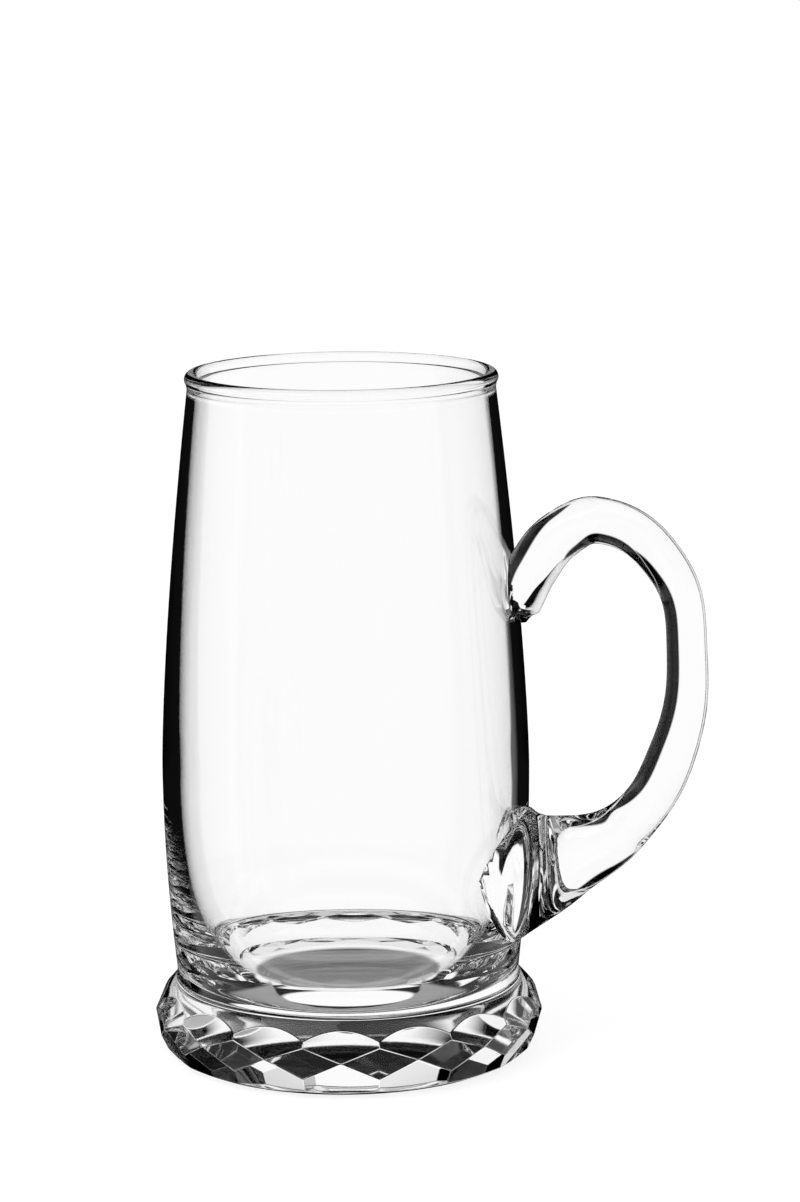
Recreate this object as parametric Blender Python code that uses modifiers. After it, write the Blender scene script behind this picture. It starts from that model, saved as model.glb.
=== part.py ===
"""Cut glass beer mug: a blown bowl, a solid foot cut with flat facets, and a drawn handle."""

import math
from collections import namedtuple

import bmesh
import bpy
from mathutils import Matrix

Station = namedtuple("Station", "stand_off height radius")

# Overall height, the gap left at each fused joint, and the fineness of turned surfaces, in metres
HEIGHT = 0.165
CLEARANCE = 0.0003
TURN_STEPS = 64
WALL_RINGS = 10
HOLLOW_RINGS = 24
CORNER_RINGS = 4
WELD = 0.00001

# Bowl: a barrel that swells from the neck to the belly and tapers to the throat under the lip
NECK_RADIUS = 0.0413
NECK_HEIGHT = 0.0210
BELLY_RADIUS = 0.0440
BELLY_HEIGHT = 0.0700
THROAT_RADIUS = 0.0365
THROAT_DROP = 0.0040
LOWER_SWELL = 2.0
UPPER_TAPER = 1.45
LIP_PROUD = 0.0006
LIP_ROUND = 0.0016
LIP_TUCK = math.radians(40)

# Hollow: the wall thickens downwards, then closes over a rounded corner to a nearly flat floor
WALL_TOP = 0.0021
WALL_LOW = 0.0037
WALL_POWER = 1.4
CLOSING_RISE = 0.0100
FLOOR_DROP = 0.0059
SIDE_POWER = 3.0
FLOOR_POWER = 5.1

# Collar, cove and coned shoulder under the bowl, and the plug that sits in the foot's pocket
COLLAR = 0.0017
COVE_RADIUS = 0.0020
SHOULDER_ANGLE = math.radians(41.7)
JOINT_DROP = 0.0038
PLUG_INSET = 0.0063
FLOOR_THICKNESS = 0.0035

# Foot: a turned blank cut with three staggered rows of flat facets
FOOT_FLARE = 0.0056
HEEL_INSET = 0.0059
HEEL_ANGLE = math.radians(25)
BLANK_ALLOWANCE = 0.0016
FACETS = 16
GIRDLE_DROP = 0.0118
UPPER_TILT = math.radians(26.6)
MIDDLE_TILT = math.radians(-3)
LOWER_TILT = math.radians(25.1)
STONE_OVERHANG = 0.0050

# Heights and radii that follow from the sizes above
THROAT_HEIGHT = HEIGHT - THROAT_DROP
CLOSING_HEIGHT = BELLY_HEIGHT + CLOSING_RISE
JOINT_HEIGHT = NECK_HEIGHT - JOINT_DROP
FLOOR_HEIGHT = NECK_HEIGHT - FLOOR_DROP
PLUG_HEIGHT = FLOOR_HEIGHT - FLOOR_THICKNESS
PLUG_RADIUS = NECK_RADIUS - PLUG_INSET
GIRDLE_HEIGHT = NECK_HEIGHT - GIRDLE_DROP
FOOT_RADIUS = NECK_RADIUS + FOOT_FLARE
BASE_RADIUS = FOOT_RADIUS - HEEL_INSET

# Handle: stations along its centre line, each standing off the wall at its own height
ROD_RADIUS = 0.0048
UPPER_TIP = Station(-0.0006, 0.1066, 0.0030)
UPPER_KNOB = Station(0.0003, 0.1100, 0.0056)
UPPER_PAD = Station(0.0049, 0.1190, 0.0061)
UPPER_BEND = Station(0.0127, 0.1274, 0.0059)
CREST = Station(0.0222, 0.1308, 0.0055)
SHOULDER = Station(0.0372, 0.1200, 0.0050)
REACH = Station(0.0401, 0.1000, ROD_RADIUS)
FLANK = Station(0.0354, 0.0760, 0.0056)
ELBOW = Station(0.0242, 0.0577, 0.0063)
HEEL = Station(0.0096, 0.0494, 0.0106)
LOWER_PAD = Station(-0.0053, 0.0452, 0.0170)
STRAP_REACH = 0.0220
STRAP_DEPTH = 0.62
PAD_REACH = 0.0060
PAD_SPREAD = 1.35
HANDLE_RINGS = 6
HANDLE_BEVEL = 4
SHARP_ANGLE = math.radians(40)

GLASS_TINT = (0.93, 0.96, 0.95, 1.0)
POLISH = 0.02
CUT_POLISH = 0.04


def clear_scene():
    for obj in list(bpy.data.objects):
        bpy.data.objects.remove(obj)


def new_collection(name):
    group = bpy.data.collections.new(name)
    bpy.context.scene.collection.children.link(group)
    return group


def new_object(name, data, group):
    obj = bpy.data.objects.new(name, data)
    group.objects.link(obj)
    return obj


def glass(name, roughness):
    material = bpy.data.materials.new(name)
    material.use_nodes = True
    shader = material.node_tree.nodes["Principled BSDF"]
    shader.inputs["Base Color"].default_value = GLASS_TINT
    shader.inputs["Roughness"].default_value = roughness
    shader.inputs["Metallic"].default_value = 0.0
    shader.inputs["Transmission Weight"].default_value = 1.0
    return material


def bowl_radius(height):
    """Outer radius of the bowl: a swell below the belly and a taper above it."""
    if height < BELLY_HEIGHT:
        share = (BELLY_HEIGHT - height) / (BELLY_HEIGHT - NECK_HEIGHT)
        return BELLY_RADIUS - (BELLY_RADIUS - NECK_RADIUS) * share**LOWER_SWELL
    share = (height - BELLY_HEIGHT) / (THROAT_HEIGHT - BELLY_HEIGHT)
    return BELLY_RADIUS - (BELLY_RADIUS - THROAT_RADIUS) * share**UPPER_TAPER


def side_radius(height):
    """Inner radius of the bowl above the closing height, where the wall thins towards the lip."""
    share = (THROAT_HEIGHT - height) / (THROAT_HEIGHT - CLOSING_HEIGHT)
    return bowl_radius(height) - WALL_TOP - (WALL_LOW - WALL_TOP) * share**WALL_POWER


def hollow_point(turn):
    """The point (r, z) of the closing curve, from the middle of the floor (0) to the side wall (1)."""
    angle = turn * math.pi / 2
    depth = (CLOSING_HEIGHT - FLOOR_HEIGHT) * math.cos(angle) ** (2 / SIDE_POWER)
    return (side_radius(CLOSING_HEIGHT) * math.sin(angle) ** (2 / FLOOR_POWER), CLOSING_HEIGHT - depth)


def spread(start, end, count):
    return [start + (end - start) * i / count for i in range(count + 1)]


def arc(centre, radius, start, end, count):
    """Points (r, z) on a round stretch, with angles measured from straight out."""
    r, z = centre
    return [(r + radius * math.cos(a), z + radius * math.sin(a)) for a in spread(start, end, count)]


def outer_wall():
    """Points (r, z) down the outside of the bowl, from the throat to the neck."""
    heights = spread(THROAT_HEIGHT, BELLY_HEIGHT, WALL_RINGS)
    heights += spread(BELLY_HEIGHT, NECK_HEIGHT, WALL_RINGS)[1:]
    return [(bowl_radius(z), z) for z in heights]


def shoulder_point(height):
    """The point (r, z) of the coned shoulder at the given height."""
    r = NECK_RADIUS + COVE_RADIUS * (1 - math.cos(SHOULDER_ANGLE))
    z = NECK_HEIGHT - COLLAR - COVE_RADIUS * math.sin(SHOULDER_ANGLE)
    return (r + (z - height) * math.tan(SHOULDER_ANGLE), height)


def turned(name, profile, group):
    """A solid turned about Z from a profile that runs down its outer side."""
    points = [(r, 0.0, z) for r, z in profile]
    edges = [(i, i + 1) for i in range(len(profile) - 1)]
    mesh = bpy.data.meshes.new(name)
    mesh.from_pydata(points, edges, [])
    obj = new_object(name, mesh, group)
    screw = obj.modifiers.new("turn", "SCREW")
    screw.steps = TURN_STEPS
    screw.render_steps = TURN_STEPS
    screw.use_merge_vertices = True
    screw.merge_threshold = WELD
    screw.use_smooth_shade = True
    return obj


def as_cutter(obj):
    obj.hide_render = True
    obj.display_type = "WIRE"
    return obj


def boolean(obj, tool, operation):
    modifier = obj.modifiers.new(tool.name, "BOOLEAN")
    modifier.object = tool
    modifier.operation = operation
    return modifier


def make_bowl(parts):
    lip_centre = (THROAT_RADIUS + LIP_PROUD - LIP_ROUND, HEIGHT - LIP_ROUND)
    profile = [hollow_point(turn) for turn in spread(0.0, 1.0, HOLLOW_RINGS)[:-1]]
    profile += [(side_radius(z), z) for z in spread(CLOSING_HEIGHT, THROAT_HEIGHT, WALL_RINGS)]
    profile += arc(lip_centre, LIP_ROUND, math.pi, math.pi / 2, CORNER_RINGS)
    profile += arc(lip_centre, LIP_ROUND, math.pi / 2, -LIP_TUCK, CORNER_RINGS)[1:]
    profile += outer_wall()
    cove_centre = (NECK_RADIUS + COVE_RADIUS, NECK_HEIGHT - COLLAR)
    profile += arc(cove_centre, COVE_RADIUS, math.pi, math.pi + SHOULDER_ANGLE, CORNER_RINGS)
    profile += [shoulder_point(JOINT_HEIGHT), (PLUG_RADIUS, JOINT_HEIGHT)]
    profile += [(PLUG_RADIUS, PLUG_HEIGHT), (0.0, PLUG_HEIGHT)]
    return turned("bowl", profile, parts)


def facet_stone(name, girdle, tilt, turn, cutters):
    """A many-sided frustum whose flat sides are one row of facets, leaning in by tilt as they rise."""
    bottom = -STONE_OVERHANG
    top = JOINT_HEIGHT + STONE_OVERHANG
    to_corner = 1 / math.cos(math.pi / FACETS)
    low = (girdle + (GIRDLE_HEIGHT - bottom) * math.tan(tilt)) * to_corner
    high = (girdle + (GIRDLE_HEIGHT - top) * math.tan(tilt)) * to_corner
    place = Matrix.Translation((0.0, 0.0, (bottom + top) / 2)) @ Matrix.Rotation(turn, 4, "Z")
    mesh = bpy.data.meshes.new(name)
    shape = bmesh.new()
    bmesh.ops.create_cone(
        shape,
        cap_ends=True,
        segments=FACETS,
        radius1=low,
        radius2=high,
        depth=top - bottom,
        matrix=place,
    )
    shape.to_mesh(mesh)
    shape.free()
    return as_cutter(new_object(name, mesh, cutters))


def make_foot(parts, cutters):
    top = JOINT_HEIGHT - CLEARANCE
    blank_radius = FOOT_RADIUS + BLANK_ALLOWANCE
    joint_radius = shoulder_point(top)[0]
    shoulder_height = top - (blank_radius - joint_radius) / math.tan(SHOULDER_ANGLE)
    heel_height = (blank_radius - BASE_RADIUS) * math.tan(HEEL_ANGLE)
    pocket_radius = PLUG_RADIUS + CLEARANCE
    pocket_height = PLUG_HEIGHT - CLEARANCE
    profile = [(0.0, pocket_height), (pocket_radius, pocket_height)]
    profile += [(pocket_radius, top), (joint_radius, top)]
    profile += [(blank_radius, shoulder_height), (blank_radius, heel_height)]
    profile += [(BASE_RADIUS, 0.0), (0.0, 0.0)]
    foot = turned("foot", profile, parts)
    half_pitch = math.pi / FACETS
    flat_girdle = FOOT_RADIUS * math.cos(half_pitch)
    for stone in (
        facet_stone("upper_stone", FOOT_RADIUS, UPPER_TILT, 0.0, cutters),
        facet_stone("middle_stone", flat_girdle, MIDDLE_TILT, half_pitch, cutters),
        facet_stone("lower_stone", FOOT_RADIUS, -LOWER_TILT, 0.0, cutters),
    ):
        boolean(foot, stone, "INTERSECT").solver = "MANIFOLD"
    return foot


def handle_curve(group):
    """The drawn rod as a swept curve, from the tip of the upper pad round to the lower pad."""
    stations = (UPPER_TIP, UPPER_KNOB, UPPER_PAD, UPPER_BEND, CREST, SHOULDER)
    stations += (REACH, FLANK, ELBOW, HEEL, LOWER_PAD)
    curve = bpy.data.curves.new("handle_sweep", "CURVE")
    curve.dimensions = "3D"
    curve.bevel_depth = ROD_RADIUS
    curve.bevel_resolution = HANDLE_BEVEL
    curve.resolution_u = HANDLE_RINGS
    curve.use_fill_caps = True
    spline = curve.splines.new("BEZIER")
    spline.radius_interpolation = "CARDINAL"
    spline.bezier_points.add(len(stations) - 1)
    for point, station in zip(spline.bezier_points, stations):
        point.co = (bowl_radius(station.height) + station.stand_off, 0.0, station.height)
        point.radius = station.radius / ROD_RADIUS
        point.handle_left_type = "AUTO"
        point.handle_right_type = "AUTO"
    return new_object("handle_sweep", curve, group)


def press_pad(shape):
    """Flattens the rod's lower end into a strap, and spreads it where it is pressed on the wall."""
    for vert in shape.verts:
        if vert.co.z < FLANK.height:
            gap = max(vert.co.x - bowl_radius(vert.co.z), 0.0)
            strap = min(max(2 - 2 * gap / STRAP_REACH, 0.0), 1.0)
            pressed = max(1 - gap / PAD_REACH, 0.0) ** 2
            depth = 1 + (STRAP_DEPTH - 1) * strap
            vert.co.y *= depth + (PAD_SPREAD - depth) * pressed


def make_handle(parts, cutters):
    sweep = handle_curve(cutters)
    graph = bpy.context.evaluated_depsgraph_get()
    mesh = bpy.data.meshes.new_from_object(sweep.evaluated_get(graph))
    shape = bmesh.new()
    shape.from_mesh(mesh)
    bmesh.ops.remove_doubles(shape, verts=shape.verts, dist=WELD)
    press_pad(shape)
    bmesh.ops.recalc_face_normals(shape, faces=shape.faces)
    shape.to_mesh(mesh)
    shape.free()
    mesh.shade_smooth()
    mesh.set_sharp_from_angle(angle=SHARP_ANGLE)
    handle = new_object("handle", mesh, parts)
    handle.matrix_world = sweep.matrix_world
    bpy.data.objects.remove(sweep)
    seat = [(0.0, THROAT_HEIGHT)]
    seat += [(r + CLEARANCE, z) for r, z in outer_wall()]
    seat += [(0.0, NECK_HEIGHT)]
    boolean(handle, as_cutter(turned("wall_seat", seat, cutters)), "DIFFERENCE")
    return handle


def main():
    clear_scene()
    parts = new_collection("cut_glass_beer_mug")
    cutters = new_collection("cutters")
    mug = new_object("mug", None, parts)
    blown = glass("blown_glass", POLISH)
    cut = glass("cut_glass", CUT_POLISH)
    drawn = glass("drawn_glass", POLISH)
    for piece, material in (
        (make_bowl(parts), blown),
        (make_foot(parts, cutters), cut),
        (make_handle(parts, cutters), drawn),
    ):
        piece.data.materials.append(material)
        piece.parent = mug


main()
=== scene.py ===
import math

import bpy
from mathutils import Matrix, Vector


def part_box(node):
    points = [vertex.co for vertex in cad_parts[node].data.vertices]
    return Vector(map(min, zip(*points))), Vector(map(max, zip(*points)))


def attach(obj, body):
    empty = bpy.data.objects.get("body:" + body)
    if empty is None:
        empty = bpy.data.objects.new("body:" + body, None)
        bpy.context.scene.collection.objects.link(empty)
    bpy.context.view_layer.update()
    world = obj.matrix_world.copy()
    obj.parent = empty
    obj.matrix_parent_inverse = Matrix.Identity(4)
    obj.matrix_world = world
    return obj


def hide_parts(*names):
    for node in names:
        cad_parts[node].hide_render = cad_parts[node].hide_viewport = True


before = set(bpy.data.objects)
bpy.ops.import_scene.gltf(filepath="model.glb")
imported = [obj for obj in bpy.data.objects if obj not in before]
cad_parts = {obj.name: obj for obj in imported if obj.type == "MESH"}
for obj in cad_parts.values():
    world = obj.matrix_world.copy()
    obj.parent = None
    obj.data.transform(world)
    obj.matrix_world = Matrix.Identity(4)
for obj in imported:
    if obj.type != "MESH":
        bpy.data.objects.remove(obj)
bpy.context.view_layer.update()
bowlLow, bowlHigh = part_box("bowl")
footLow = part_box("foot")[0]
rimHeight = bowlHigh[2]
plugHeight = bowlLow[2]  # the bowl's plug is melted into the foot down to this level
mergeGap = 1e-6  # points closer than this become one
plainWhite = (1.0, 1.0, 1.0, 1.0)
print("frame loaded")


def clearSelection():
    if bpy.context.mode != "OBJECT":
        bpy.ops.object.mode_set(mode="OBJECT")
    bpy.ops.object.select_all(action="DESELECT")


def grab(piece):
    clearSelection()
    piece.select_set(True)
    bpy.context.view_layer.objects.active = piece


def steps(start, end, count):
    return [start + (end - start) * i / count for i in range(count + 1)]


def roundStretch(centre, radius, start, end, count):
    angles = [math.radians(a) for a in steps(start, end, count)]
    return [(centre[0] + radius * math.cos(a), centre[1] + radius * math.sin(a)) for a in angles]


def turnOnLathe(name, profile, turns):
    clearSelection()
    bpy.ops.mesh.primitive_plane_add(size=0.001)
    piece = bpy.context.active_object
    piece.name = name
    bpy.ops.object.mode_set(mode="EDIT")
    bpy.ops.mesh.select_mode(type="VERT")
    bpy.ops.mesh.merge(type="CENTER")  # one point, drawn out into the profile
    bpy.ops.transform.translate(value=(profile[0][0], 0, profile[0][1]))
    for (r0, z0), (r1, z1) in zip(profile, profile[1:]):
        bpy.ops.mesh.extrude_vertices_move(TRANSFORM_OT_translate={"value": (r1 - r0, 0, z1 - z0)})
    bpy.ops.mesh.select_all(action="SELECT")
    bpy.ops.mesh.spin(steps=turns, angle=math.tau, center=(0, 0, 0), axis=(0, 0, 1))
    bpy.ops.mesh.select_all(action="SELECT")
    bpy.ops.mesh.remove_doubles(threshold=mergeGap)
    bpy.ops.mesh.normals_make_consistent(inside=False)
    bpy.ops.object.mode_set(mode="OBJECT")
    bpy.ops.object.shade_smooth()
    return piece


def applyModifier(piece, modifier):
    grab(piece)
    bpy.ops.object.modifier_apply(modifier=modifier.name)


def selectFaces(piece, wanted):
    grab(piece)
    bpy.ops.object.mode_set(mode="EDIT")
    bpy.ops.mesh.select_mode(type="FACE")
    bpy.ops.mesh.select_all(action="DESELECT")
    bpy.ops.object.mode_set(mode="OBJECT")
    for face in piece.data.polygons:
        face.select = wanted(face)
    bpy.ops.object.mode_set(mode="EDIT")


def paintFaces(piece, slot, wanted):
    for face in piece.data.polygons:
        if wanted(face):
            face.material_index = slot


def grey(level):
    return (level, level, level, 1.0)


# a socket's value is another node's output, which is linked, or a plain value
def feed(tree, node, sockets):
    for name, value in sockets.items():
        if isinstance(value, bpy.types.NodeSocket):
            tree.links.new(value, node.inputs[name])
        else:
            node.inputs[name].default_value = value


def nodeOf(tree, kind, sockets=None, **settings):
    node = tree.nodes.new(kind)
    for name, value in settings.items():
        setattr(node, name, value)
    feed(tree, node, sockets or {})
    return node


def mathOf(tree, operation, *values, clamp=False):
    sockets = dict(enumerate(values))
    return nodeOf(tree, "ShaderNodeMath", sockets, operation=operation, use_clamp=clamp).outputs[0]


def blend(tree, factor, first, second):
    sockets = {"Factor": factor, "A": first, "B": second}
    return nodeOf(tree, "ShaderNodeMix", sockets, data_type="FLOAT").outputs["Result"]


def smoothRange(tree, value, start, end):
    sockets = {"Value": value, "From Min": start, "From Max": end}
    return nodeOf(tree, "ShaderNodeMapRange", sockets, interpolation_type="SMOOTHSTEP").outputs[0]


def startGroup(name, inputs, outputs):
    tree = bpy.data.node_groups.new(name, "ShaderNodeTree")
    for way, sockets in (("INPUT", inputs), ("OUTPUT", outputs)):
        for socket in sockets:
            tree.interface.new_socket(name=socket, in_out=way, socket_type="NodeSocketFloat")
    return tree, nodeOf(tree, "NodeGroupInput").outputs


handworkLook = {
    "rippleStretch": (1.0, 1.0, 2.2), "rippleDetail": 1.0, "scratchSize": 900.0, "scratchDetail": 3.0,
}


def makeHandworkGroup():
    s = handworkLook
    inputs = ("Ripple Size", "Ripple Depth", "Scuff Height", "Scuff")
    tree, into = startGroup("handwork", inputs, ("Height", "Roughness"))
    place = nodeOf(tree, "ShaderNodeTexCoord").outputs["Object"]
    # slow ripples left by the blowing and pulling, drawn out sideways
    stretch = nodeOf(tree, "ShaderNodeMapping", {"Vector": place, "Scale": s["rippleStretch"]})
    ripple = nodeOf(tree, "ShaderNodeTexNoise", {
        "Vector": stretch.outputs["Vector"], "Scale": into["Ripple Size"], "Detail": s["rippleDetail"],
    })
    height = mathOf(tree, "MULTIPLY", ripple.outputs["Fac"], into["Ripple Depth"])
    # fine scuffs where the mug meets the table
    split = nodeOf(tree, "ShaderNodeSeparateXYZ", {0: place})
    low = nodeOf(tree, "ShaderNodeMapRange", {
        "Value": split.outputs["Z"], "From Min": 0.0, "From Max": into["Scuff Height"],
        "To Min": 1.0, "To Max": 0.0,
    })
    scratch = nodeOf(tree, "ShaderNodeTexNoise", {
        "Vector": place, "Scale": s["scratchSize"], "Detail": s["scratchDetail"],
    })
    worn = mathOf(tree, "MULTIPLY", low.outputs[0], scratch.outputs["Fac"])
    rough = mathOf(tree, "MULTIPLY", worn, into["Scuff"])
    nodeOf(tree, "NodeGroupOutput", {"Height": height, "Roughness": rough})
    return tree


handwork = makeHandworkGroup()


def makeGlass(name, look):
    glass = bpy.data.materials.new(name)
    glass.use_nodes = True
    tree = glass.node_tree
    work = nodeOf(tree, "ShaderNodeGroup", {
        "Ripple Size": look["rippleSize"], "Ripple Depth": look["rippleDepth"],
        "Scuff Height": look["scuffHeight"], "Scuff": look["scuff"],
    }, node_tree=handwork)
    bump = nodeOf(tree, "ShaderNodeBump", {
        "Strength": 1.0, "Distance": 1.0, "Height": work.outputs["Height"],
    })
    feed(tree, tree.nodes["Principled BSDF"], {
        "Base Color": look["tint"], "IOR": look["ior"], "Specular Tint": grey(look["sheen"]),
        "Transmission Weight": 1.0, "Metallic": 0.0,
        "Roughness": work.outputs["Roughness"], "Normal": bump.outputs["Normal"],
    })
    return glass


def makeFusedJoint():
    joint = bpy.data.materials.new("fusedJoint")  # glass melted into glass: nothing shows
    joint.use_nodes = True
    joint.node_tree.nodes["Principled BSDF"].inputs["Alpha"].default_value = 0.0
    return joint


blownGlass = makeGlass("blownGlass", {
    "tint": (0.996, 0.998, 0.997, 1.0), "ior": 1.52, "sheen": 0.45,
    "rippleSize": 22.0, "rippleDepth": 0.00002, "scuffHeight": 0.004, "scuff": 0.05,
})
cutGlass = makeGlass("cutGlass", {
    "tint": (0.994, 0.997, 0.996, 1.0), "ior": 1.52, "sheen": 0.45,
    "rippleSize": 60.0, "rippleDepth": 0.00001, "scuffHeight": 0.004, "scuff": 0.06,
})
drawnGlass = makeGlass("drawnGlass", {
    "tint": (0.996, 0.998, 0.997, 1.0), "ior": 1.52, "sheen": 0.45,
    "rippleSize": 45.0, "rippleDepth": 0.00004, "scuffHeight": 0.004, "scuff": 0.05,
})
fusedJoint = makeFusedJoint()
print("finishes made")


bowlShape = {
    "neck": 0.0413, "neckAt": 0.0210, "belly": bowlHigh[1], "bellyAt": 0.070,
    "throat": 0.0365, "throatAt": rimHeight - 0.004, "lowerSwell": 2.0, "upperTaper": 1.45,
    "wallTop": 0.0021, "wallLow": 0.0037, "wallPower": 1.4,
    "lipProud": 0.0006, "lipRound": 0.0016, "lipTuck": -40, "lipRings": 20,
    "closingAt": 0.080, "floor": plugHeight + 0.0035, "sidePower": 3.0, "floorPower": 5.1,
    "collar": 0.0017, "cove": 0.0020, "coveRings": 10, "shoulderAngle": 41.7,
    "ringAt": 0.0172, "plug": 0.0350, "turns": 192, "wallRings": 44, "hollowRings": 110,
    "upward": 0.1,  # faces that look up more than this are the hollow's, not the plug's
}


def wallRadius(height):
    s = bowlShape
    if height < s["bellyAt"]:
        share = (s["bellyAt"] - height) / (s["bellyAt"] - s["neckAt"])
        return s["belly"] - (s["belly"] - s["neck"]) * share ** s["lowerSwell"]
    share = (height - s["bellyAt"]) / (s["throatAt"] - s["bellyAt"])
    return s["belly"] - (s["belly"] - s["throat"]) * share ** s["upperTaper"]


def sideRadius(height):
    s = bowlShape
    share = (s["throatAt"] - height) / (s["throatAt"] - s["closingAt"])  # the wall thins towards the lip
    return wallRadius(height) - s["wallTop"] - (s["wallLow"] - s["wallTop"]) * share ** s["wallPower"]


def hollowPoint(turn):
    s = bowlShape
    depth = (s["closingAt"] - s["floor"]) * math.cos(turn) ** (2 / s["sidePower"])
    return (sideRadius(s["closingAt"]) * math.sin(turn) ** (2 / s["floorPower"]), s["closingAt"] - depth)


def outerWall():
    s = bowlShape
    return [(wallRadius(z), z) for z in steps(s["throatAt"], s["neckAt"], 2 * s["wallRings"])]


def shoulderCurve(lowest):
    s = bowlShape
    coveCentre = (s["neck"] + s["cove"], s["neckAt"] - s["collar"])
    curve = roundStretch(coveCentre, s["cove"], 180, 180 + s["shoulderAngle"], s["coveRings"])
    spread = (curve[-1][1] - lowest) * math.tan(math.radians(s["shoulderAngle"]))
    return curve + [(curve[-1][0] + spread, lowest)]


def makeBowl():
    s = bowlShape
    lipCentre = (s["throat"] + s["lipProud"] - s["lipRound"], rimHeight - s["lipRound"])
    profile = [hollowPoint(turn) for turn in steps(0.0, math.pi / 2, s["hollowRings"])[:-1]]
    profile += [(sideRadius(z), z) for z in steps(s["closingAt"], s["throatAt"], s["wallRings"])]
    profile += roundStretch(lipCentre, s["lipRound"], 180, 90, s["lipRings"] // 2)
    profile += roundStretch(lipCentre, s["lipRound"], 90, s["lipTuck"], s["lipRings"])[1:]
    profile += outerWall()
    profile += shoulderCurve(s["ringAt"])
    profile += [(s["plug"], s["ringAt"]), (s["plug"], plugHeight), (0.0, plugHeight)]
    piece = turnOnLathe("blownBowl", profile, s["turns"])
    piece.data.materials.append(blownGlass)
    piece.data.materials.append(fusedJoint)
    ring = s["ringAt"] + mergeGap
    paintFaces(piece, 1, lambda face: face.center.z < ring and face.normal.z < s["upward"])
    return piece


bowl = makeBowl()
print("bowl turned:", len(bowl.data.polygons), "faces")


footShape = {
    "reach": 0.0469, "base": 0.0410, "heelAngle": 25, "allowance": 0.0016,
    "facets": 16, "girdle": 0.0092, "upperTilt": 26.6, "middleTilt": -3.0, "lowerTilt": -25.1,
    "edgeRound": 0.00022, "edgeSteps": 2, "edgeAngle": 9, "flatWeight": 100,
    "cutGap": 1e-7, "weldGap": 2e-6, "topSides": 40,  # only the open top has more sides than this
}


def cutFacet(bearing, tilt, reach):
    s = footShape
    a, t = math.radians(bearing), math.radians(tilt)
    facing = (math.cos(t) * math.cos(a), math.cos(t) * math.sin(a), math.sin(t))
    spot = (reach * math.cos(a), reach * math.sin(a), s["girdle"])
    bpy.ops.mesh.select_all(action="SELECT")
    bpy.ops.mesh.bisect(
        plane_co=spot, plane_no=facing, use_fill=True, clear_outer=True, threshold=s["cutGap"],
    )


def closeTop(piece):
    grab(piece)
    bpy.ops.object.mode_set(mode="EDIT")
    bpy.ops.mesh.select_mode(type="VERT")
    bpy.ops.mesh.select_all(action="SELECT")
    bpy.ops.mesh.fill_holes(sides=0)
    bpy.ops.object.mode_set(mode="OBJECT")
    joint = [m.name for m in piece.data.materials].index("fusedJoint")
    for face in piece.data.polygons:
        if len(face.vertices) > footShape["topSides"]:
            face.material_index = joint
            face.use_smooth = False


def makeFoot():
    s = footShape
    blank = s["reach"] + s["allowance"]
    joint = shoulderCurve(bowlShape["ringAt"])[-1]
    shoulder = joint[1] - (blank - joint[0]) / math.tan(math.radians(bowlShape["shoulderAngle"]))
    heel = (blank - s["base"]) * math.tan(math.radians(s["heelAngle"]))
    profile = [joint, (blank, shoulder), (blank, heel), (s["base"], footLow[2]), (0.0, footLow[2])]
    piece = turnOnLathe("cutFoot", profile, bowlShape["turns"])
    grab(piece)
    bpy.ops.object.mode_set(mode="EDIT")
    bpy.ops.mesh.select_mode(type="FACE")
    pitch = 360 / s["facets"]
    flatReach = s["reach"] * math.cos(math.radians(pitch / 2))
    for i in range(s["facets"]):
        between = (i + 0.5) * pitch
        cutFacet(between, s["upperTilt"], s["reach"])
        cutFacet(between, s["lowerTilt"], s["reach"])
        cutFacet(i * pitch, s["middleTilt"], flatReach)
    bpy.ops.mesh.select_all(action="SELECT")
    bpy.ops.mesh.remove_doubles(threshold=s["weldGap"])
    bpy.ops.mesh.normals_make_consistent(inside=False)
    bpy.ops.object.mode_set(mode="OBJECT")
    piece.data.materials.append(cutGlass)
    piece.data.materials.append(fusedJoint)
    soften = piece.modifiers.new("polishedEdges", "BEVEL")  # the open top ring stays sharp
    soften.width = s["edgeRound"]
    soften.segments = s["edgeSteps"]
    soften.limit_method = "ANGLE"
    soften.angle_limit = math.radians(s["edgeAngle"])
    soften.use_clamp_overlap = True
    applyModifier(piece, soften)
    bpy.ops.object.shade_smooth()
    flat = piece.modifiers.new("flatFacets", "WEIGHTED_NORMAL")
    flat.weight = s["flatWeight"]
    applyModifier(piece, flat)
    closeTop(piece)
    selectFaces(piece, lambda face: face.material_index == 1)
    bpy.ops.mesh.inset(thickness=joint[0] - bowlShape["plug"])  # the pocket that the bowl's plug fills
    bpy.ops.mesh.extrude_region_move(TRANSFORM_OT_translate={"value": (0, 0, plugHeight - joint[1])})
    bpy.ops.object.mode_set(mode="OBJECT")
    return piece


foot = makeFoot()
print("foot cut:", len(foot.data.polygons), "faces")


handleShape = {
    # stand-off from the wall, height, radius, from the upper pad round to the lower pad
    "stations": (
        (-0.0006, 0.1066, 0.0030), (0.0003, 0.1100, 0.0056), (0.0049, 0.1190, 0.0061),
        (0.0127, 0.1274, 0.0059), (0.0222, 0.1308, 0.0055), (0.0372, 0.1200, 0.0050),
        (0.0401, 0.1000, 0.0048), (0.0354, 0.0760, 0.0056), (0.0242, 0.0577, 0.0063),
        (0.0096, 0.0494, 0.0106), (-0.0053, 0.0452, 0.0170),
    ),
    "rod": 0.0048, "ringsPerStation": 20, "sides": 14, "sink": 0.0010, "creaseAngle": 35,
    "strapReach": 0.0220, "strapDepth": 0.62, "padReach": 0.0060, "padSpread": 1.35, "padBelow": 0.0760,
}


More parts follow.
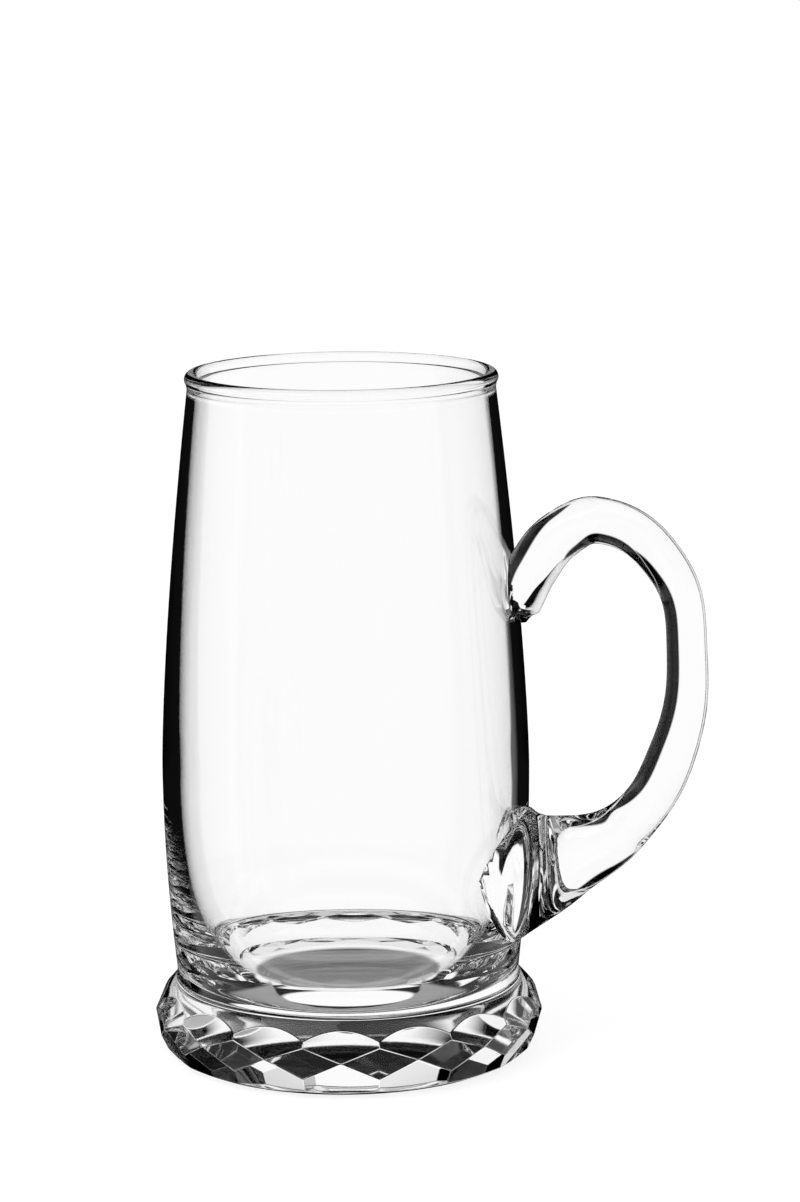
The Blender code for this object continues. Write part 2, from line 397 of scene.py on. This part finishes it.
def pressPad(piece):
    s = handleShape
    for vert in piece.data.vertices:
        if vert.co.z < s["padBelow"]:
            gap = max(vert.co.x - wallRadius(vert.co.z), 0.0)
            strap = min(max(2 - 2 * gap / s["strapReach"], 0.0), 1.0)
            pressed = max(1 - gap / s["padReach"], 0.0) ** 2
            depth = 1 + (s["strapDepth"] - 1) * strap
            vert.co.y *= depth + (s["padSpread"] - depth) * pressed


def makeHandle():
    s = handleShape
    clearSelection()
    bpy.ops.curve.primitive_bezier_curve_add()
    piece = bpy.context.active_object
    piece.name = "drawnHandle"
    line = piece.data
    line.splines[0].bezier_points.add(len(s["stations"]) - 2)
    for point, (standOff, height, radius) in zip(line.splines[0].bezier_points, s["stations"]):
        point.co = (wallRadius(height) + standOff, 0.0, height)
        point.radius = radius / s["rod"]
        point.handle_left_type = "AUTO"
        point.handle_right_type = "AUTO"
    line.splines[0].radius_interpolation = "CARDINAL"
    line.resolution_u = s["ringsPerStation"]
    line.bevel_depth = s["rod"]
    line.bevel_resolution = s["sides"]
    line.use_fill_caps = True
    bpy.ops.object.convert(target="MESH")
    bpy.ops.object.mode_set(mode="EDIT")
    bpy.ops.mesh.select_all(action="SELECT")
    bpy.ops.mesh.remove_doubles(threshold=mergeGap)
    bpy.ops.mesh.normals_make_consistent(inside=False)
    bpy.ops.object.mode_set(mode="OBJECT")
    bpy.ops.object.shade_smooth()
    piece.data.materials.append(drawnGlass)
    pressPad(piece)  # the lower end is flattened, and pressed out wide against the wall
    # the ends stop a little way inside the wall
    seat = [(radius - s["sink"], z) for radius, z in outerWall()]
    seat = [(0.0, seat[0][1])] + seat + [(0.0, seat[-1][1])]
    cutter = turnOnLathe("wallSeat", seat, bowlShape["turns"])
    trim = piece.modifiers.new("trim", "BOOLEAN")
    trim.object = cutter
    trim.operation = "DIFFERENCE"
    applyModifier(piece, trim)
    bpy.data.objects.remove(cutter)
    return piece


def joinPatch(piece, patch):
    grab(piece)
    patch.select_set(True)
    bpy.ops.object.join()
    bpy.ops.object.mode_set(mode="EDIT")
    bpy.ops.mesh.select_mode(type="VERT")
    bpy.ops.mesh.select_all(action="SELECT")
    bpy.ops.mesh.remove_doubles(threshold=mergeGap)
    bpy.ops.object.mode_set(mode="OBJECT")
    bpy.ops.object.material_slot_remove_unused()


def meetingPatch(bowl, rod):
    # the patches of wall under the two pads, which close both pieces where they are melted together
    grab(bowl)
    bpy.ops.object.duplicate()
    patch = bpy.context.active_object
    shared = patch.modifiers.new("shared", "BOOLEAN")
    shared.object = rod
    shared.operation = "INTERSECT"
    shared.material_mode = "TRANSFER"
    applyModifier(patch, shared)
    slots = [m.name for m in patch.data.materials]
    selectFaces(patch, lambda face: slots[face.material_index] != "blownGlass")
    bpy.ops.mesh.delete(type="FACE")
    bpy.ops.object.mode_set(mode="OBJECT")
    paintFaces(patch, slots.index("fusedJoint"), lambda face: True)
    return patch


def fuseHandle(bowl, rod):
    patch = meetingPatch(bowl, rod)
    join = bowl.modifiers.new("fuse", "BOOLEAN")
    join.object = rod
    join.operation = "UNION"
    join.material_mode = "TRANSFER"
    applyModifier(bowl, join)
    bpy.data.objects.remove(rod)
    drawn = [m.name for m in bowl.data.materials].index("drawnGlass")
    selectFaces(bowl, lambda face: face.material_index == drawn)
    bpy.ops.mesh.separate(type="SELECTED")  # parted again along the line where the pads meet the wall
    bpy.ops.object.mode_set(mode="OBJECT")
    piece = [o for o in bpy.context.selected_objects if o != bowl][0]
    piece.name = "drawnHandle"
    grab(patch)
    bpy.ops.object.duplicate()
    turned = bpy.context.active_object
    bpy.ops.object.mode_set(mode="EDIT")
    bpy.ops.mesh.select_all(action="SELECT")
    bpy.ops.mesh.flip_normals()
    bpy.ops.object.mode_set(mode="OBJECT")
    for shell, cap in ((bowl, patch), (piece, turned)):
        grab(shell)
        bpy.ops.object.shade_smooth_by_angle(angle=math.radians(handleShape["creaseAngle"]))
        joinPatch(shell, cap)
    return piece


handle = fuseHandle(bowl, makeHandle())
print("handle drawn:", len(handle.data.polygons), "faces; bowl", len(bowl.data.polygons))

for piece, node, finish in (
    (bowl, "bowl", "blown_glass"), (foot, "foot", "cut_glass"), (handle, "handle", "drawn_glass"),
):
    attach(piece, "root")
    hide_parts(node)


brightField = {
    "white": 1.0, "dark": 0.004, "fill": 0.75, "soft": 3.0, "mirrorSoft": 8.0,
    "bends": 3.5, "turns": 0.5,  # fewer bends: a rod or one wall; more turns: turned back in the glass
    # from and to bearing, lowest and highest elevation, all in degrees, and brightness
    "panels": (  # for light that was turned back inside the glass
        (-200, 200, 6, 14.5, 1.0), (-200, 200, -110, -60, 1.0), (110, 200, -33, 4, 0.6),
        (-200, -82, -33, 4, 0.6), (-82, -30, -33, 4, 1.0), (-200, 200, 50, 110, 0.9),
        (113, 200, 30, 110, 0.9), (-200, -87, 30, 110, 0.9),
    ),
    "mirrored": (  # for what the surface mirrors
        (75, 125, -33, 10, 1.0), (125, 200, -33, 10, 0.7), (-99, -33, -33, 10, 1.0),
        (-200, -99, -33, 10, 0.7), (-200, 200, 55, 110, 0.9),
    ),
    "shades": (  # dark, for light that goes through one thickness of glass
        (-95, -8, -60, 15, 1.0), (-200, 200, 15, 50, 1.0),
    ),
}


def makePanelGroup():
    inputs = ("Bearing", "Elevation", "From", "To", "Lowest", "Highest", "Brightness", "Soft")
    tree, into = startGroup("whitePanel", inputs, ("Level",))
    level = into["Brightness"]
    for above, below in (
        ("Bearing", "From"), ("To", "Bearing"), ("Elevation", "Lowest"), ("Highest", "Elevation"),
    ):
        past = mathOf(tree, "SUBTRACT", into[above], into[below])
        ramp = mathOf(tree, "DIVIDE", past, into["Soft"])
        within = mathOf(tree, "ADD", ramp, 0.5, clamp=True)  # the ramp's middle is on the edge
        level = mathOf(tree, "MULTIPLY", level, within)
    nodeOf(tree, "NodeGroupOutput", {"Level": level})
    return tree


def makeLevel(tree, group, ways, panels, soft):
    level = brightField["dark"]
    for panel in panels:
        sockets = dict(zip(("From", "To", "Lowest", "Highest", "Brightness"), panel))
        one = nodeOf(tree, "ShaderNodeGroup", {**ways, **sockets, "Soft": soft}, node_tree=group)
        level = mathOf(tree, "MAXIMUM", one.outputs["Level"], level)
    return level


def makeWorld():
    s = brightField
    world = bpy.data.worlds.new("brightField")
    bpy.context.scene.world = world
    world.use_nodes = True
    tree = world.node_tree
    tree.nodes.clear()
    way = nodeOf(tree, "ShaderNodeTexCoord").outputs["Generated"]
    split = nodeOf(tree, "ShaderNodeSeparateXYZ", {0: way}).outputs
    bearing = mathOf(tree, "ARCTAN2", mathOf(tree, "MULTIPLY", split["X"], -1.0), split["Y"])
    rise = mathOf(tree, "ARCSINE", split["Z"])
    ways = {"Bearing": mathOf(tree, "DEGREES", bearing), "Elevation": mathOf(tree, "DEGREES", rise)}
    group = makePanelGroup()
    mirrored = makeLevel(tree, group, ways, s["mirrored"], s["mirrorSoft"])
    panels = makeLevel(tree, group, ways, s["panels"], s["soft"])
    shades = makeLevel(tree, group, ways, s["shades"], s["soft"])
    path = nodeOf(tree, "ShaderNodeLightPath").outputs
    onceThrough = mathOf(tree, "LESS_THAN", path["Transmission Depth"], s["bends"])
    shaded = mathOf(tree, "MULTIPLY", shades, onceThrough)
    clear = mathOf(tree, "SUBTRACT", s["white"], shaded)  # straight through, the background is white
    turnedBack = mathOf(tree, "GREATER_THAN", path["Glossy Depth"], s["turns"])
    passed = blend(tree, turnedBack, clear, panels)
    chosen = blend(tree, path["Is Transmission Ray"], mirrored, passed)
    evened = blend(tree, path["Is Diffuse Ray"], chosen, s["fill"])  # diffuse rays see an even soft fill
    seen = blend(tree, path["Is Camera Ray"], evened, s["white"])  # the camera sees plain white
    back = nodeOf(tree, "ShaderNodeBackground", {"Color": plainWhite, "Strength": seen})
    nodeOf(tree, "ShaderNodeOutputWorld", {"Surface": back.outputs[0]})


paperFloor = {
    "size": 6.0, "drop": 0.0003, "glow": 0.80, "catch": 0.30,
    # shade under the base, deepest at the back, where the light from behind doesn't reach
    "front": 0.33, "back": 0.08, "wide": 0.0327, "long": 0.046, "rim": (1.04, 0.94),
    "edge": -0.017, "edgeSoft": (0.0015, 0.0035), "edgeBow": 17.0,
    "rag": 0.005, "ragSize": 160.0, "ragDetail": 3.0,
    "bearing": 12.93,  # of the line from the camera to the mug
}


def makeUnderShade(tree):
    s = paperFloor
    place = nodeOf(tree, "ShaderNodeTexCoord").outputs["Object"]
    turned = nodeOf(tree, "ShaderNodeMapping", {
        "Vector": place, "Rotation": (0.0, 0.0, -math.radians(s["bearing"])),
    }).outputs["Vector"]
    oval = nodeOf(tree, "ShaderNodeMapping", {
        "Vector": turned, "Scale": (1 / s["wide"], 1 / s["long"], 1.0),
        "Location": (0.0, -s["edge"] / s["long"], 0.0),
    }).outputs["Vector"]
    reach = nodeOf(tree, "ShaderNodeVectorMath", {0: oval}, operation="LENGTH").outputs["Value"]
    inside = smoothRange(tree, reach, *s["rim"])
    # the front edge is ragged, and bowed so that the floor's lens straightens it
    split = nodeOf(tree, "ShaderNodeSeparateXYZ", {0: turned}).outputs
    ragged = nodeOf(tree, "ShaderNodeTexNoise", {
        "Vector": place, "Scale": s["ragSize"], "Detail": s["ragDetail"],
    }).outputs["Fac"]
    wander = mathOf(tree, "MULTIPLY_ADD", ragged, s["rag"], split["Y"])
    square = mathOf(tree, "MULTIPLY", split["X"], split["X"])
    bowed = mathOf(tree, "MULTIPLY_ADD", square, s["edgeBow"], wander)
    behind = smoothRange(tree, bowed, *(s["edge"] + soft for soft in s["edgeSoft"]))
    deep = nodeOf(tree, "ShaderNodeMapRange", {
        "Value": split["Y"], "From Min": s["edge"], "From Max": s["edge"] + s["long"],
        "To Min": s["front"], "To Max": s["back"],
    }).outputs[0]
    shade = nodeOf(tree, "ShaderNodeEmission", {"Color": plainWhite, "Strength": deep}).outputs[0]
    clear = nodeOf(tree, "ShaderNodeBsdfTransparent").outputs[0]
    shaded = mathOf(tree, "MULTIPLY", inside, behind)
    return nodeOf(tree, "ShaderNodeMixShader", {0: shaded, 1: clear, 2: shade}).outputs[0]


def makeFloor():
    s = paperFloor
    clearSelection()
    bpy.ops.mesh.primitive_plane_add(size=s["size"], location=(0, 0, -s["drop"]))
    floor = bpy.context.active_object
    floor.name = "studioFloor"
    paper = bpy.data.materials.new("whitePaper")
    paper.use_nodes = True
    tree = paper.node_tree
    tree.nodes.clear()
    glow = nodeOf(tree, "ShaderNodeEmission", {"Color": plainWhite, "Strength": s["glow"]}).outputs[0]
    matt = nodeOf(tree, "ShaderNodeBsdfDiffuse", {"Color": grey(s["catch"])}).outputs[0]
    sheet = nodeOf(tree, "ShaderNodeAddShader", {0: glow, 1: matt}).outputs[0]
    # through the glass only the shade under the base shows, and beyond it the panels
    under = makeUnderShade(tree)
    path = nodeOf(tree, "ShaderNodeLightPath").outputs
    through = mathOf(tree, "MAXIMUM", path["Is Transmission Ray"], path["Is Glossy Ray"])
    mix = nodeOf(tree, "ShaderNodeMixShader", {0: through, 1: sheet, 2: under}).outputs[0]
    nodeOf(tree, "ShaderNodeOutputMaterial", {"Surface": mix})
    floor.data.materials.append(paper)


blackFlag = {"radius": 0.062, "height": 0.198, "sides": 64, "shade": 0.004}  # card over the mouth


def makeFlag():
    s = blackFlag
    clearSelection()
    bpy.ops.mesh.primitive_circle_add(
        vertices=s["sides"], radius=s["radius"], fill_type="NGON", location=(0, 0, s["height"]),
    )
    card = bpy.context.active_object
    card.name = "blackFlag"
    black = bpy.data.materials.new("blackFlag")
    black.use_nodes = True
    tree = black.node_tree
    tree.nodes.clear()
    matt = nodeOf(tree, "ShaderNodeBsdfDiffuse", {"Color": grey(s["shade"])}).outputs[0]
    nodeOf(tree, "ShaderNodeOutputMaterial", {"Surface": matt})
    card.data.materials.append(black)
    card.visible_camera = False
    card.visible_diffuse = False
    card.visible_shadow = False


softBoxSetting = {"place": (-0.5, -0.7, 1.1), "aim": (0, 0, 0.08), "size": 0.9, "power": 6.0}


def makeSoftBox():
    s = softBoxSetting
    clearSelection()
    bpy.ops.object.light_add(type="AREA", location=s["place"])
    softBox = bpy.context.active_object
    softBox.name = "softBox"
    softBox.data.size = s["size"]
    softBox.data.energy = s["power"]
    softBox.rotation_euler = (Vector(s["aim"]) - softBox.location).to_track_quat("-Z", "Y").to_euler()
    softBox.visible_camera = False
    softBox.visible_transmission = False


makeWorld()
makeFloor()
makeFlag()
makeSoftBox()
print("studio set")


cameraSetting = {
    "place": (0.230495, -0.944095, 0.290621), "lens": 124.25, "sensor": 36.0, "farthest": 20.0,
    "right": (0.9749771, 0.22211116, -0.00928873),
    "up": (-0.03180114, 0.18070419, 0.98302324),
    "ahead": (-0.22001894, 0.95812975, -0.18324584),
}


def makeCamera():
    s = cameraSetting
    bpy.ops.object.camera_add(location=s["place"])
    camera = bpy.context.active_object
    right, up, ahead = (Vector(s[way]) for way in ("right", "up", "ahead"))
    camera.rotation_euler = Matrix((right, up, -ahead)).transposed().to_euler()
    camera.data.lens = s["lens"]
    camera.data.sensor_width = s["sensor"]
    camera.data.clip_end = s["farthest"]
    bpy.context.scene.camera = camera


makeCamera()
bpy.context.scene.view_settings.view_transform = "Standard"
bpy.context.scene.cycles.max_bounces = 32
bpy.context.scene.cycles.transmission_bounces = 32
bpy.context.scene.cycles.glossy_bounces = 16
bpy.context.scene.cycles.transparent_max_bounces = 32
print("camera set")
